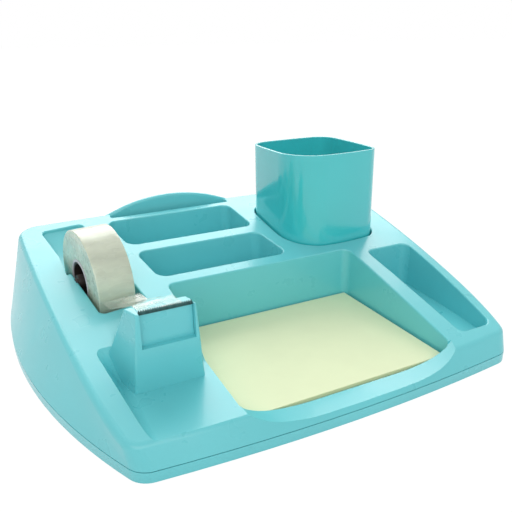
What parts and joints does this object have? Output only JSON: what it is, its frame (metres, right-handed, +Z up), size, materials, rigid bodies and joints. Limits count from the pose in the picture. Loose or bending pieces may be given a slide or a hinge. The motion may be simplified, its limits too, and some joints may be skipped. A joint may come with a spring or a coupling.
{
  "type": "desk organizer with tape dispenser",
  "caption": "Wedge-shaped desk organizer with tape dispenser and cutter, note tray, small trays, card slot and lift-out pen cup.",
  "frame": {"origin": "centre of the footprint, on the surface it stands on", "axes": "+X to the right along the longest side, +Y to the back where the card slot is, +Z up"},
  "size_m": [0.3154, 0.246, 0.1146],
  "materials": {
    "housing": "satin moulded",
    "cup": "gloss moulded",
    "screw": "zinc plated",
    "paper": "uncoated sheets",
    "hub": "dark moulded",
    "core": "smooth",
    "tape": "clear film on the roll",
    "blade": "dark coated",
    "foot": "matt"
  },
  "bodies": {
    "body": {"upper_housing": "housing", "base_plate": "housing", "blade_holder": "housing", "cutter_blade": "blade", "housing_screws": "screw", "tape_tail": "tape", "foot_front_left": "foot", "foot_front_right": "foot", "foot_rear_left": "foot", "foot_rear_right": "foot"},
    "cup": {"pen_cup": "cup"},
    "notes": {"note_sheets": "paper"},
    "spindle": {"spindle_pin": "hub"},
    "tape_wheel": {"tape_hub": "hub", "tape_core": "core", "tape_roll": "tape"}
  },
  "joints": [
    {"name": "cup_lift", "type": "slide", "parent": "body", "child": "cup", "axis": [0, 0, 1], "range_m": [0, 0.06]},
    {"name": "notes_lift", "type": "slide", "parent": "body", "child": "notes", "axis": [0, 0, 1], "range_m": [0, 0.03]},
    {"name": "spindle_lift", "type": "slide", "parent": "body", "child": "spindle", "axis": [0, 0, 1], "range_m": [0, 0.05]},
    {"name": "tape_spin", "type": "hinge", "parent": "spindle", "child": "tape_wheel", "pos_m": [-0.10125, 0.0264, 0.04884], "axis": [0.9898, 0.1426, 0], "continuous": true}
  ]
}
